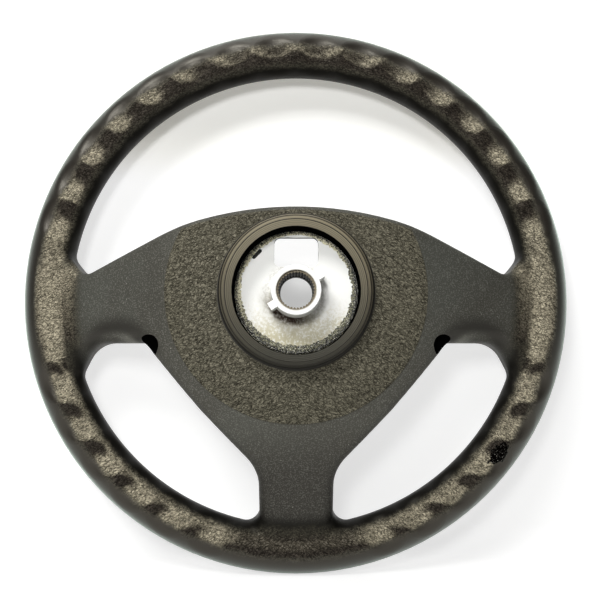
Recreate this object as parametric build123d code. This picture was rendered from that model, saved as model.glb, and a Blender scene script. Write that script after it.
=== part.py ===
"""Bare car steering wheel, three spokes, without its airbag.

Working frame: x is right and y is up as seen from behind the wheel, and z is
depth, 0 at the rim's middle plane and positive towards the steering column.
The pieces are turned at export, so that Z is up, the column side faces -Y and
the origin is the middle of the hub bush's plain bore.
"""
import os
from math import atan2, cos, degrees, hypot, radians, sin, sqrt, tan

from build123d import *

# Rim
RIM_DIAMETER = 375.0
GRIP_DIAMETER = 31.0
RIM_R = (RIM_DIAMETER - GRIP_DIAMETER) / 2
GRIP_R = GRIP_DIAMETER / 2
RING_DIAMETER = 9.0
PARTING_HALF_ANGLE = 20.0
PARTING_FLAT = 0.2

# Finger scallops in the back of the rim
SCALLOP_RADIUS = 32.0
SCALLOP_DEPTH = 2.6
SCALLOP_ACROSS = 24.0
SCALLOP_EDGES = (8.0, 6.0, 4.0, 2.0)
UPPER_SCALLOPS = 8
UPPER_FIRST = 5.0
UPPER_STEP = 9.6
LOWER_SCALLOPS = 6
LOWER_FIRST = 20.0
LOWER_STEP = 10.0

# Plan outline of hub and spokes
HUB_TOP = 54.8
HUB_TOP_RADIUS = 222.0
SPOKE_TOP_ANGLE = 23.8
SPOKE_BOTTOM = -32.3
HUB_SIDE = 97.4
HUB_SIDE_ROUND = 4.0
HUB_KNEE = (61.0, -75.0)
HUB_KNEE_ROUND = 60.0
LOWER_SPOKE_HALF = 24.7
LOWER_SPOKE_TOP = -114.0
LOWER_SPOKE_ROUND = 30.0
FLARE_IN = 36.0
FLARE_ANGLE = 62.0
FLARE_ROUND = 20.0
UPPER_FLARE_IN = 29.0
UPPER_FLARE_ANGLE = 50.0
UPPER_FLARE_ROUND = 10.0

# Section of the dish from the hub out to the rim
HUB_BACK = 50.0
HUB_FLAT = 80.0
DISH_BEND_IN = 22.0
DISH_BEND_BACK = 16.0
DISH_END_BACK = 10.5
DISH_END_FRONT = -8.0
FRONT_EDGE = 5.0
FRONT_FLAT = 88.0
FRONT_BEND_IN = 32.0
FRONT_BEND = -5.0
DISH_ROUND = 30.0
TOP_SHOULDER = 5.0
LOW_SHOULDER = 10.0
FRONT_SHOULDER = 3.0
RIM_BLENDS = (9.5, 8.0, 6.5, 5.0, 3.5)

# Collar round the column opening
COLLAR_R = 47.5
COLLAR_BORE_R = 39.5
COLLAR_FACE = 62.5
COLLAR_EDGE = 4.0
COLLAR_FOOT = 2.5

# Grained pad on the hub's back, cut off along the hub's top
PAD_R = 83.0
PAD_RISE = 0.5
PAD_INSET = 4.0
PAD_CORNER = 9.0
PAD_EDGE = 0.4

# Pocket for the airbag, open to the driver
POCKET_TOP = 46.0
POCKET_SHOULDER = (76.0, 36.0)
POCKET_SIDE = (80.0, -26.0)
POCKET_FOOT = (30.0, -86.0)
POCKET_CORNER = 12.0

# Die-cast armature
PLATE_BACK = 41.0
PLATE_FRONT = 36.0
PLATE_EMBED = 4.0
WINDOW_WIDTH = 28.4
WINDOW_HEIGHT = 18.8
WINDOW_Y = 26.0
WINDOW_CORNER = 4.0
SLOT_LENGTH = 8.0
SLOT_WIDTH = 2.4
SLOT_DEPTH = 3.5
SLOT_R = 35.3
SLOT_ANGLE = 135.5
ARM_ROOT_R = 55.0
ARM_BEND_IN = 22.0
ARM_BEND_BACK = 10.0
ARM_BEND_FRONT = 2.0
ARM_END_HALF = 5.0
ARM_ROOT_HALF = 20.0
ARM_TIP_HALF = 10.0
ARM_TIP_Y = -8.0
LOWER_ARM_HALF = 14.0
SOCKET_R = 9.0
SOCKET_ARC = 12.0
CORE_BOSS_R = 22.0
RIB_THICK = 3.0
RIB_OUTER_R = 66.0
RIB_HEIGHT = 4.0
RIB_ANGLES = (20.0, 160.0, 200.0, 235.0, 305.0, 340.0)

# Boss of the armature, cast round the hub bush, with two driving dogs
BOSS_R = 15.4
BOSS_DRAFT = 1.0
BOSS_END = 64.0
BOSS_EDGE = 0.6
DOG_REACH = 19.4
DOG_WIDTH = 4.8
DOG_ANGLE = 32.5
DOG_DROP = 0.8

# Access holes to the airbag's two fixings, and the cast lugs behind them
ACCESS_DIAMETER = 13.5
ACCESS_IN = 4.8
ACCESS_DOWN = 0.7
ACCESS_SINK = 2.3
ACCESS_PLAN_ANGLE = 23.0
ACCESS_TILT = 28.0
ACCESS_LENGTH = 31.0
LUG_FROM_HOLE = 37.0
LUG_WIDTH = 18.0
LUG_THICK = 6.0
LUG_HOLE = 6.6
LUG_GUSSET = 8.0

# Splined hub bush
BUSH_R = 13.6
BUSH_END = 61.0
BUSH_FRONT = 30.0
BORE_R = 10.4
BORE_LENGTH = 7.0
MOUTH_R = 12.35
SPLINE_CREST_R = 10.7
SPLINE_ROOT_R = 11.6
SPLINE_TEETH = 36
GROOVE_DEPTH = 1.2
GROOVE_WIDTH = 3.0

BORE_MIDDLE = BUSH_FRONT + BORE_LENGTH / 2


def soften(shape, edges, radii):
    """Round the edges with the first radius in the list that fits."""
    for radius in radii:
        try:
            rounded = fillet(edges, radius)
        except ValueError:
            continue
        if rounded.is_valid and rounded.volume > 0:
            return rounded
    return shape


def along(radius, points):
    """Depth of a polyline of (radius, depth) points at one radius."""
    for (r0, d0), (r1, d1) in zip(points, points[1:]):
        if radius <= r1:
            return d0 + (d1 - d0) * (radius - r0) / (r1 - r0)
    return points[-1][1]


def radius_of(edge):
    """Distance of an edge's middle from the wheel's axis."""
    middle = edge.center()
    return hypot(middle.X, middle.Y)


DISH_END_R = RIM_R - 4.0
BACK_LINE = [
    (0, HUB_BACK),
    (HUB_FLAT, HUB_BACK),
    (RIM_R - DISH_BEND_IN, DISH_BEND_BACK),
    (DISH_END_R, DISH_END_BACK),
]
FRONT_LINE = [
    (0, FRONT_EDGE),
    (FRONT_FLAT, FRONT_EDGE),
    (RIM_R - FRONT_BEND_IN, FRONT_BEND),
    (DISH_END_R, DISH_END_FRONT),
]
ACCESS_X = HUB_SIDE - ACCESS_IN
ACCESS_Y = SPOKE_BOTTOM - ACCESS_DOWN
ACCESS_DEPTH = along(hypot(ACCESS_X, ACCESS_Y), BACK_LINE) - ACCESS_SINK


def section(back, front, round_radius):
    """Revolve a band between two (radius, depth) lines about the wheel's axis."""
    points = back + front[::-1]
    profile = Plane.YZ * make_face(Polyline(*points, close=True))
    inner = [v for v in profile.vertices() if 1.0 < v.Y < max(p[0] for p in points) - 1.0]
    if round_radius:
        profile = fillet(inner, round_radius)
    return revolve(profile, Axis.Z)


def reach_rim(point, angle, radius):
    """Point where a line from a plan point at an angle reaches a radius."""
    x, y = point
    way = (cos(radians(angle)), sin(radians(angle)))
    half = x * way[0] + y * way[1]
    step = -half + sqrt(half * half + radius * radius - x * x - y * y)
    return (x + step * way[0], y + step * way[1])


def plan_outline():
    """Plan of the hub and its three spokes, ending inside the rim."""
    slope = radians(SPOKE_TOP_ANGLE)
    shoulder = (HUB_TOP_RADIUS * sin(slope), HUB_TOP - HUB_TOP_RADIUS * (1 - cos(slope)))
    end = RIM_R - 8.5
    upper_x = RIM_R - UPPER_FLARE_IN
    upper = (upper_x, shoulder[1] - (upper_x - shoulder[0]) * tan(slope))
    side = (HUB_SIDE, SPOKE_BOTTOM)
    flare = (RIM_R - FLARE_IN, SPOKE_BOTTOM)
    root = (LOWER_SPOKE_HALF, LOWER_SPOKE_TOP)
    right = [
        upper,
        reach_rim(upper, UPPER_FLARE_ANGLE, RIM_R - 6.0),
        (end, SPOKE_BOTTOM + 5.0),
        reach_rim(flare, -FLARE_ANGLE, RIM_R - 6.0),
        flare,
        side,
        HUB_KNEE,
        root,
        (LOWER_SPOKE_HALF, -end),
    ]
    left = [(-x, y) for x, y in reversed(right)]
    path = Polyline(shoulder, *right, *left, (-shoulder[0], shoulder[1]))
    crown = ThreePointArc((-shoulder[0], shoulder[1]), (0, HUB_TOP), shoulder)
    face = make_face([*path.edges(), crown])
    rounds = [
        (root, LOWER_SPOKE_ROUND),
        (HUB_KNEE, HUB_KNEE_ROUND),
        (side, HUB_SIDE_ROUND),
        (flare, FLARE_ROUND),
        (upper, UPPER_FLARE_ROUND),
    ]
    for (x, y), radius in rounds:
        face = fillet([v for v in face.vertices() if hypot(abs(v.X) - x, v.Y - y) < 0.05], radius)
    return face


def shoulder_edges(body, back, upper):
    """Edges between the side walls and the dish, on one side and half."""
    found = []
    faces = body.faces()
    for edge in body.edges():
        sides = [f for f in faces if any(edge.is_same(e) for e in f.edges())]
        if len(sides) != 2 or radius_of(edge) > RIM_R - 10.0:
            continue
        lean = sorted(abs(f.normal_at(f.center()).Z) for f in sides)
        middle = edge.center()
        level = (along(radius_of(edge), BACK_LINE) + along(radius_of(edge), FRONT_LINE)) / 2
        if lean[0] < 0.02 and lean[1] > 0.3 and (middle.Z > level) == back and (middle.Y > 0) == upper:
            found.append(edge)
    return found


def drum(radius, low, high):
    """Upright cylinder about the wheel's axis between two depths."""
    return Pos(0, 0, (low + high) / 2) * Cylinder(radius, high - low)


def make_pad():
    """Slightly raised pad that carries the grain on the hub's back."""
    middle = HUB_TOP - HUB_TOP_RADIUS
    crown_r = HUB_TOP_RADIUS - PAD_INSET
    corner_y = (PAD_R**2 + middle**2 - crown_r**2) / (2 * middle)
    corner_x = sqrt(PAD_R**2 - corner_y**2)
    ends = [(corner_x, corner_y), (-corner_x, corner_y)]
    disc = ThreePointArc(ends[0], (0, -PAD_R), ends[1])
    crown = ThreePointArc(ends[1], (0, HUB_TOP - PAD_INSET), ends[0])
    outline = make_face([disc, crown])
    outline = fillet(outline.vertices(), PAD_CORNER)
    raised = [(radius, depth + PAD_RISE) for radius, depth in BACK_LINE]
    dish = section(raised, FRONT_LINE, DISH_ROUND)
    pad = (dish & (Pos(0, 0, PLATE_BACK) * extrude(outline, HUB_BACK))).solid()
    walls = [f for f in pad.faces() if abs(f.normal_at(f.center()).Z) < 0.02]
    rims = [f.edges().sort_by(Axis.Z)[-1] for f in walls]
    return soften(pad, rims, (PAD_EDGE, PAD_EDGE / 2))


def pocket_outline():
    """Shield-shaped plan of the airbag pocket."""
    sx, sy = POCKET_SHOULDER
    right = [POCKET_SIDE, POCKET_FOOT]
    left = [(-x, y) for x, y in reversed(right)]
    path = Polyline((sx, sy), *right, *left, (-sx, sy))
    crown = ThreePointArc((-sx, sy), (0, POCKET_TOP), (sx, sy))
    face = make_face([*path.edges(), crown])
    return fillet(face.vertices(), POCKET_CORNER)


def access_axis(side):
    """Plane at an access hole's mouth, its z pointing into the pocket."""
    plan = radians(ACCESS_PLAN_ANGLE)
    tilt = radians(ACCESS_TILT)
    inward = Vector(-side * cos(plan) * cos(tilt), sin(plan) * cos(tilt), -sin(tilt))
    across = Vector(side * sin(plan), cos(plan), 0)
    return Plane((side * ACCESS_X, ACCESS_Y, ACCESS_DEPTH), x_dir=across, z_dir=inward)


def access_hole(side):
    """Cutter for one access hole, from outside the hub's side into the pocket."""
    return access_axis(side) * Cylinder(ACCESS_DIAMETER / 2, 2 * ACCESS_LENGTH)


def scallop_angles():
    """Directions of the scallops from +x, counter-clockwise."""
    upper = [UPPER_FIRST + UPPER_STEP * k for k in range(UPPER_SCALLOPS)]
    lower = [LOWER_FIRST + LOWER_STEP * k for k in range(LOWER_SCALLOPS)]
    tops = [90 + s * a for a in upper for s in (1, -1)]
    return tops + [270 + s * a for a in lower for s in (1, -1)]


def scallop(angle):
    """Cutter for one finger scallop, a roller lying across the rim's back."""
    roller = Rot(0, 90, 0) * Cylinder(SCALLOP_RADIUS, SCALLOP_ACROSS)
    height = GRIP_R - SCALLOP_DEPTH + SCALLOP_RADIUS
    return Rot(0, 0, angle) * Pos(RIM_R, 0, height) * roller


def make_grip():
    """Rim's grip ring with its parting land and softened finger scallops."""
    reach = GRIP_R * cos(radians(PARTING_HALF_ANGLE))
    rise = GRIP_R * sin(radians(PARTING_HALF_ANGLE))
    back = (RIM_R + reach, rise)
    front = (RIM_R + reach, -rise)
    round_part = ThreePointArc(back, (RIM_R - GRIP_R, 0), front)
    land = ThreePointArc(front, (RIM_R + GRIP_R - PARTING_FLAT, 0), back)
    grip = revolve(Plane.YZ * make_face([round_part, land]), Axis.Z)
    grip -= [scallop(angle) for angle in scallop_angles()]
    rolls = [e for e in grip.edges() if e.length < 4 * SCALLOP_RADIUS]
    return soften(grip, rolls, SCALLOP_EDGES)


def make_bush():
    """Splined steel bush that the alloy is cast round, and its envelope."""
    envelope = drum(BUSH_R, BUSH_FRONT, BUSH_END)
    groove = drum(BUSH_R + 1, PLATE_FRONT - GROOVE_WIDTH, PLATE_FRONT)
    groove -= drum(BUSH_R - GROOVE_DEPTH, PLATE_FRONT - GROOVE_WIDTH, PLATE_FRONT)
    envelope -= groove
    land_end = BUSH_FRONT + BORE_LENGTH
    bush = envelope - drum(BORE_R, BUSH_FRONT, BUSH_END)
    bush -= drum(SPLINE_CREST_R, land_end, BUSH_END)
    pitch = 360 / SPLINE_TEETH
    inside = SPLINE_CREST_R - 0.2
    half = inside * radians(pitch) * 0.44
    notch = make_face(Polyline((inside, half), (SPLINE_ROOT_R, 0), (inside, -half), close=True))
    gap = Pos(0, 0, land_end) * extrude(notch, BUSH_END - land_end)
    bush -= [Rot(0, 0, pitch * k) * gap for k in range(SPLINE_TEETH)]
    return bush, envelope


def make_boss():
    """Drafted boss behind the plate, with two dogs and a machined end."""
    height = BOSS_END - PLATE_BACK
    boss = Pos(0, 0, PLATE_BACK + height / 2) * Cone(BOSS_R + BOSS_DRAFT, BOSS_R, height)
    dog_height = height - DOG_DROP
    dog_at = Pos((DOG_REACH + BUSH_R) / 2, 0, PLATE_BACK + dog_height / 2)
    for angle in (DOG_ANGLE, DOG_ANGLE + 180):
        boss += Rot(0, 0, angle) * dog_at * Box(DOG_REACH - BUSH_R, DOG_WIDTH, dog_height)
    ends = [e for e in boss.edges().filter_by(GeomType.CIRCLE) if e.center().Z > BOSS_END - 0.01]
    boss = soften(boss, ends, (BOSS_EDGE, BOSS_EDGE / 2))
    return boss - drum(MOUTH_R, BUSH_END, BOSS_END + 1)


def make_lug(side):
    """Leaning cast lug that takes one of the airbag's fixing screws."""
    mouth = access_axis(side)
    lean = radians(ACCESS_TILT)
    seat = LUG_FROM_HOLE * cos(lean)
    seat_depth = ACCESS_DEPTH - LUG_FROM_HOLE * sin(lean)
    top = seat_depth - LUG_WIDTH / 2 * cos(lean)
    run = tan(lean)
    wall = LUG_THICK / cos(lean)
    outer_top = seat - LUG_WIDTH / 2 * sin(lean) - wall / 2
    outer_foot = outer_top + (PLATE_FRONT - top) * run
    profile = [
        (outer_top, top),
        (outer_top + wall, top),
        (outer_top + wall + (seat_depth + 4 - top) * run, seat_depth + 4),
        (outer_foot + wall + LUG_GUSSET, PLATE_FRONT),
        (outer_foot, PLATE_FRONT),
    ]
    plan = radians(ACCESS_PLAN_ANGLE)
    inward = Vector(-side * cos(plan), sin(plan), 0)
    upright = Plane((side * ACCESS_X, ACCESS_Y, 0), x_dir=inward, z_dir=inward.cross(Vector(0, 0, 1)))
    lug = extrude(upright * make_face(Polyline(*profile, close=True)), LUG_WIDTH / 2, both=True)
    level = [e for e in lug.edges().filter_by(GeomType.LINE) if abs(e.center().Z - top) < 0.01]
    tips = [e for e in level if abs(e.tangent_at(0.5).dot(inward)) > 0.9]
    lug = soften(lug, tips, (LUG_WIDTH / 3, LUG_WIDTH / 6))
    return lug - mouth * Pos(0, 0, LUG_FROM_HOLE) * Cylinder(LUG_HOLE / 2, 4 * LUG_THICK)


def make_casting(bush_envelope, ring):
    """Die-cast hub plate with its boss, three arms, rim sockets, ribs and lugs."""
    plate = extrude(offset(pocket_outline(), PLATE_EMBED), PLATE_BACK - PLATE_FRONT)
    plate = Pos(0, 0, PLATE_FRONT) * plate
    back = [
        (ARM_ROOT_R, PLATE_BACK),
        (HUB_FLAT + 3.0, PLATE_BACK),
        (RIM_R - ARM_BEND_IN, ARM_BEND_BACK),
        (RIM_R, ARM_END_HALF),
    ]
    front = [
        (ARM_ROOT_R, PLATE_FRONT),
        (HUB_FLAT - 1.0, PLATE_FRONT),
        (RIM_R - ARM_BEND_IN, ARM_BEND_FRONT),
        (RIM_R, -ARM_END_HALF),
    ]
    tip = RIM_R + 2.0
    inner = ARM_ROOT_R - 10.0
    upper_side = [(inner, ARM_ROOT_HALF), (HUB_FLAT, ARM_ROOT_HALF), (tip, ARM_TIP_Y + ARM_TIP_HALF)]
    lower_side = [(tip, ARM_TIP_Y - ARM_TIP_HALF), (HUB_FLAT, -ARM_ROOT_HALF), (inner, -ARM_ROOT_HALF)]
    plan = make_face(Polyline(*upper_side, *lower_side, close=True))
    plan += mirror(plan, Plane.YZ)
    plan += Pos(0, -(tip + ARM_ROOT_R) / 2) * Rectangle(2 * LOWER_ARM_HALF, tip - ARM_ROOT_R)
    arms = section(back, front, 0) & (Pos(0, 0, -20) * extrude(plan, 80))
    socket = revolve(Plane.XZ * Pos(RIM_R, 0) * Circle(SOCKET_R), Axis.Z, SOCKET_ARC)
    side_turn = degrees(atan2(ARM_TIP_Y, RIM_R))
    sockets = [Rot(0, 0, turn - SOCKET_ARC / 2) * socket for turn in (side_turn, 180 - side_turn, 270)]
    core = drum(CORE_BOSS_R, BUSH_FRONT, PLATE_FRONT)
    core = fillet(core.edges().sort_by(Axis.Z)[:1], 1.5)
    casting = plate + arms.solids() + sockets + core + make_boss()
    casting -= [access_hole(side) for side in (1, -1)]
    rib_length = RIB_OUTER_R - BUSH_R
    rib_at = Pos(BUSH_R + rib_length / 2, 0, PLATE_FRONT - RIB_HEIGHT / 2)
    rib = rib_at * Box(rib_length, RIB_THICK, RIB_HEIGHT)
    casting += [Rot(0, 0, angle) * rib for angle in RIB_ANGLES]
    casting += [make_lug(side) for side in (1, -1)]
    cable = Pos(0, WINDOW_Y) * RectangleRounded(WINDOW_WIDTH, WINDOW_HEIGHT, WINDOW_CORNER)
    casting -= Pos(0, 0, BUSH_FRONT - 1) * extrude(cable, PLATE_BACK - BUSH_FRONT + 2)
    slot = Rot(0, 0, SLOT_ANGLE) * Pos(SLOT_R, 0) * Rot(0, 0, 90) * SlotOverall(SLOT_LENGTH, SLOT_WIDTH)
    casting -= Pos(0, 0, PLATE_BACK) * extrude(slot, -SLOT_DEPTH)
    return casting - bush_envelope - ring


def make_cover(casting, ring):
    """One-piece foam cover over the casting and the ring."""
    outline = plan_outline()
    web = section(BACK_LINE, FRONT_LINE, DISH_ROUND) & (Pos(0, 0, -30) * extrude(outline, 100))
    web = web.solid()
    web = soften(web, shoulder_edges(web, True, True), (TOP_SHOULDER, TOP_SHOULDER - 1, TOP_SHOULDER - 2))
    web = soften(web, shoulder_edges(web, True, False), (LOW_SHOULDER, LOW_SHOULDER - 1, LOW_SHOULDER - 2))
    for upper in (True, False):
        web = soften(web, shoulder_edges(web, False, upper), (FRONT_SHOULDER, FRONT_SHOULDER - 1))
    grip = make_grip()
    known = [e.center() for e in grip.edges()]
    body = (web + grip).solid()
    seams = [e for e in body.edges() if on_grip(e) and all((e.center() - c).length > 0.05 for c in known)]
    body = soften(body, seams, RIM_BLENDS)
    collar = drum(COLLAR_R, HUB_BACK - 5.0, COLLAR_FACE)
    collar = fillet(collar.edges().sort_by(Axis.Z)[-1:], COLLAR_EDGE)
    body = (body + make_pad() + collar).solid()
    circles = body.edges().filter_by(GeomType.CIRCLE)
    level = HUB_BACK + PAD_RISE
    foot = [e for e in circles if abs(e.center().Z - level) < 0.01 and abs(e.radius - COLLAR_R) < 0.01]
    body = soften(body, foot, (COLLAR_FOOT, COLLAR_FOOT / 2))
    body -= drum(COLLAR_BORE_R, PLATE_BACK, COLLAR_FACE + 5)
    body -= Pos(0, 0, PLATE_FRONT) * extrude(pocket_outline(), -(PLATE_FRONT + 40))
    body -= drum(COLLAR_BORE_R, PLATE_FRONT, PLATE_BACK)
    body -= [access_hole(side) for side in (1, -1)]
    shell = body - casting - ring
    return max(shell.solids(), key=lambda solid: solid.volume)


def on_grip(edge):
    """Whether an edge lies where a spoke runs into the rim's grip."""
    if edge.length < 0.5 or radius_of(edge) > RIM_R:
        return False
    places = [edge @ t for t in (0.1, 0.5, 0.9)]
    return all(abs(hypot(hypot(p.X, p.Y) - RIM_R, p.Z) - GRIP_R) < 0.05 for p in places)


def main():
    """Build every piece, turn it into the shared frame and write it."""
    os.makedirs("parts", exist_ok=True)
    ring = Torus(RIM_R, RING_DIAMETER / 2)
    bush, envelope = make_bush()
    casting = make_casting(envelope, ring)
    cover = make_cover(casting, ring)
    pieces = {"grip_cover": cover, "armature": casting, "rim_ring": ring, "hub_bush": bush}
    turn = Plane.XZ.offset(-BORE_MIDDLE).location
    for name, piece in pieces.items():
        solid = turn * piece.solid()
        print(name, round(solid.volume), solid.is_valid)
        export_step(solid, f"parts/{name}.step")


main()
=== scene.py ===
"""Bare car steering wheel, seen from the column side, dressed for a studio picture.

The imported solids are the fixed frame, in metres: X right, Z up, and the column
side faces -Y. The cover, the casting, the hub bush and the core ring keep their
solids and get their finishes here. The foam flash round the hub plate is added.
"""
import logging
import math
from dataclasses import dataclass
from enum import Enum
from typing import Optional, Union

import bmesh
import bpy
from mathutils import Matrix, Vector, noise


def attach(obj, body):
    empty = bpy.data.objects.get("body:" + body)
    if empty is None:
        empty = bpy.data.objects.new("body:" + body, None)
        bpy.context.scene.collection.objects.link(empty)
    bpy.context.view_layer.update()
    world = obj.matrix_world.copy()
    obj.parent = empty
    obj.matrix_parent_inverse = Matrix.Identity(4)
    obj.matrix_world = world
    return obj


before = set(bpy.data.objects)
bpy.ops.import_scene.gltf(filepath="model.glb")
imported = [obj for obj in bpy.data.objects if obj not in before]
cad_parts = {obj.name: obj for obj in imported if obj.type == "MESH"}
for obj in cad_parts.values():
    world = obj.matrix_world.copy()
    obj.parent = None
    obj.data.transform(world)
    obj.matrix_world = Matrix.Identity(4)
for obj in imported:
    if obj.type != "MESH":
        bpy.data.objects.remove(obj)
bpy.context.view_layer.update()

BODY = "root"
log = logging.getLogger("steering_wheel")

Socket = bpy.types.NodeSocket
Value = Union[float, Socket]
Colour = tuple[float, float, float]
Point = tuple[float, float, float]
Pair = tuple[float, float]
# A ramp is the value that gives 0 and the value that gives 1.
Ramp = tuple[float, float]
# A noise is its repeats in a metre, its finer layers and their strength.
Noise = tuple[float, float, float]
# Waves are pairs of a share and a rate.
Waves = tuple[Pair, ...]

# Radii between which the collar's foot runs out into the hub's pad.
COLLAR_FOOT: Ramp = (0.0493, 0.0503)


class Slot(Enum):
    """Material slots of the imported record."""

    SKIN = "foam_skin"
    ALLOY = "cast_alloy"
    CORE = "core_steel"
    BUSH = "bush_steel"


class Cells(Enum):
    """What a cell pattern gives."""

    EDGE = "DISTANCE_TO_EDGE"
    CENTRE = "F1"


class Blend(Enum):
    """What a blend works on, with the places of its two ends and its result."""

    NUMBER = ("FLOAT", 2, 3, 0)
    COLOUR = ("RGBA", 6, 7, 2)


def linear(red: int, green: int, blue: int) -> Colour:
    """Turn a colour as seen on a screen, 0 to 255, into scene values.

    Args:
        red, green, blue: the colour's three parts.

    Returns:
        The same colour in linear light.
    """
    parts = []
    for part in (red, green, blue):
        share = part / 255
        parts.append(share / 12.92 if share <= 0.04045 else ((share + 0.055) / 1.055) ** 2.4)
    return parts[0], parts[1], parts[2]


def ease(value: float, low: float, high: float) -> float:
    """Rise smoothly from 0 at low to 1 at high.

    Args:
        value: where to read the curve.
        low: value that gives 0.
        high: value that gives 1.

    Returns:
        The eased share.
    """
    share = min(1.0, max(0.0, (value - low) / (high - low)))
    return share * share * (3 - 2 * share)


@dataclass(frozen=True)
class Spot:
    """Where a point of a surface lies, and its distance from the wheel's axis."""

    place: Socket
    x: Socket
    y: Socket
    z: Socket
    radius: Socket


class Graph:
    """Short way to wire a material's nodes."""

    def __init__(self, name: str) -> None:
        """Start an empty material.

        Args:
            name: the material's name.
        """
        self.material = bpy.data.materials.new(name)
        self.material.use_nodes = True
        self.tree = self.material.node_tree
        self.tree.nodes.clear()
        self.output = self.node("ShaderNodeOutputMaterial")

    def node(self, kind: str, **settings: object) -> bpy.types.Node:
        """Add a node and set its options.

        Args:
            kind: Blender's name for the node.
            settings: its options by name.

        Returns:
            The node.
        """
        made = self.tree.nodes.new(kind)
        for key, value in settings.items():
            setattr(made, key, value)
        return made

    def feed(self, socket: Socket, value: object) -> None:
        """Link a socket to another, or set its value.

        Args:
            socket: the input that is fed.
            value: an output, a number, or a colour of three parts.
        """
        if isinstance(value, bpy.types.NodeSocket):
            self.tree.links.new(value, socket)
        elif isinstance(value, tuple) and len(value) == 3 and socket.type == "RGBA":
            socket.default_value = (*value, 1.0)
        else:
            socket.default_value = value

    def spot(self) -> Spot:
        """Read where a point of the surface lies.

        Returns:
            Its place, in metres.
        """
        place = self.node("ShaderNodeTexCoord").outputs["Object"]
        x, y, z = self.split(place)
        return Spot(place, x, y, z, self.length(x, z))

    def split(self, vector: Socket) -> tuple[Socket, Socket, Socket]:
        """Take a vector apart.

        Args:
            vector: the vector.

        Returns:
            Its three parts.
        """
        made = self.node("ShaderNodeSeparateXYZ")
        self.feed(made.inputs[0], vector)
        return made.outputs[0], made.outputs[1], made.outputs[2]

    def join(self, x: Value, y: Value, z: Value) -> Socket:
        """Make a vector.

        Args:
            x, y, z: its three parts.

        Returns:
            The vector.
        """
        made = self.node("ShaderNodeCombineXYZ")
        for socket, value in zip(made.inputs, (x, y, z)):
            self.feed(socket, value)
        return made.outputs[0]

    def math(self, operation: str, *values: Value) -> Socket:
        """Work out one step of arithmetic.

        Args:
            operation: Blender's name for the step.
            values: what it works on.

        Returns:
            The result.
        """
        made = self.node("ShaderNodeMath", operation=operation)
        for socket, value in zip(made.inputs, values):
            self.feed(socket, value)
        return made.outputs[0]

    def chain(self, operation: str, values: tuple[Value, ...]) -> Socket:
        """Work the same step of arithmetic through a row of values.

        Args:
            operation: Blender's name for the step.
            values: the row, of two or more.

        Returns:
            The result.
        """
        result = values[0]
        for value in values[1:]:
            result = self.math(operation, result, value)
        return result

    def add(self, *values: Value) -> Socket:
        """Add values up."""
        return self.chain("ADD", values)

    def times(self, *values: Value) -> Socket:
        """Multiply values, such as masks that have to hold together."""
        return self.chain("MULTIPLY", values)

    def most(self, *values: Value) -> Socket:
        """Take the largest value."""
        return self.chain("MAXIMUM", values)

    def less(self, value: Value, taken: Value) -> Socket:
        """Take one value from another."""
        return self.math("SUBTRACT", value, taken)

    def over(self, value: Value, divisor: Value) -> Socket:
        """Divide one value by another."""
        return self.math("DIVIDE", value, divisor)

    def size(self, value: Value) -> Socket:
        """Drop a value's sign."""
        return self.math("ABSOLUTE", value)

    def rest(self, mask: Value) -> Socket:
        """Turn a mask round."""
        return self.less(1.0, mask)

    def sway(self, share: Value, reach: float) -> Socket:
        """Turn a share from 0 to 1 into a swing about 0, reach wide."""
        return self.times(self.less(share, 0.5), reach)

    def length(self, a: Value, b: Value) -> Socket:
        """Length of a flat vector."""
        return self.math("SQRT", self.add(self.times(a, a), self.times(b, b)))

    def step(self, value: Value, low: float, high: float) -> Socket:
        """Rise smoothly from 0 at low to 1 at high.

        Args:
            value: where to read the curve.
            low: value that gives 0; it may be the larger.
            high: value that gives 1.

        Returns:
            The eased share.
        """
        made = self.node("ShaderNodeMapRange", interpolation_type="SMOOTHSTEP")
        flip = low > high
        ends = (high, low) if flip else (low, high)
        self.feed(made.inputs["Value"], value)
        made.inputs["From Min"].default_value = ends[0]
        made.inputs["From Max"].default_value = ends[1]
        made.inputs["To Min"].default_value = 1.0 if flip else 0.0
        made.inputs["To Max"].default_value = 0.0 if flip else 1.0
        return made.outputs["Result"]

    def noise(self, vector: Socket, scale: float, detail: float, rough: float) -> Socket:
        """Soft noise from 0 to 1.

        Args:
            vector: where it is read.
            scale: repeats in a metre.
            detail: finer layers added.
            rough: how strong those layers are.

        Returns:
            The noise's value.
        """
        made = self.node("ShaderNodeTexNoise")
        self.feed(made.inputs["Vector"], vector)
        made.inputs["Scale"].default_value = scale
        made.inputs["Detail"].default_value = detail
        made.inputs["Roughness"].default_value = rough
        return made.outputs[0]

    def warp(self, vector: Socket, scale: float, reach: float) -> Socket:
        """Push points about by a soft noise.

        Args:
            vector: the points.
            scale: the noise's repeats in a metre.
            reach: how far they go, in metres.

        Returns:
            The moved points.
        """
        drift = self.node("ShaderNodeTexNoise")
        self.feed(drift.inputs["Vector"], vector)
        drift.inputs["Scale"].default_value = scale
        made = self.node("ShaderNodeVectorMath", operation="MULTIPLY_ADD")
        self.feed(made.inputs[0], drift.outputs["Color"])
        made.inputs[1].default_value = (reach, reach, reach)
        self.feed(made.inputs[2], vector)
        return made.outputs[0]

    def cells(self, vector: Socket, scale: float, kind: Cells) -> tuple[Socket, Optional[Socket]]:
        """Cell pattern, as its distance and, for centres, a random colour.

        Args:
            vector: where it is read.
            scale: cells in a metre.
            kind: distance to the cell's edge or to its centre.

        Returns:
            The distance and the cell's own colour.
        """
        made = self.node("ShaderNodeTexVoronoi", feature=kind.value)
        self.feed(made.inputs["Vector"], vector)
        made.inputs["Scale"].default_value = scale
        return made.outputs["Distance"], made.outputs.get("Color")

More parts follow.
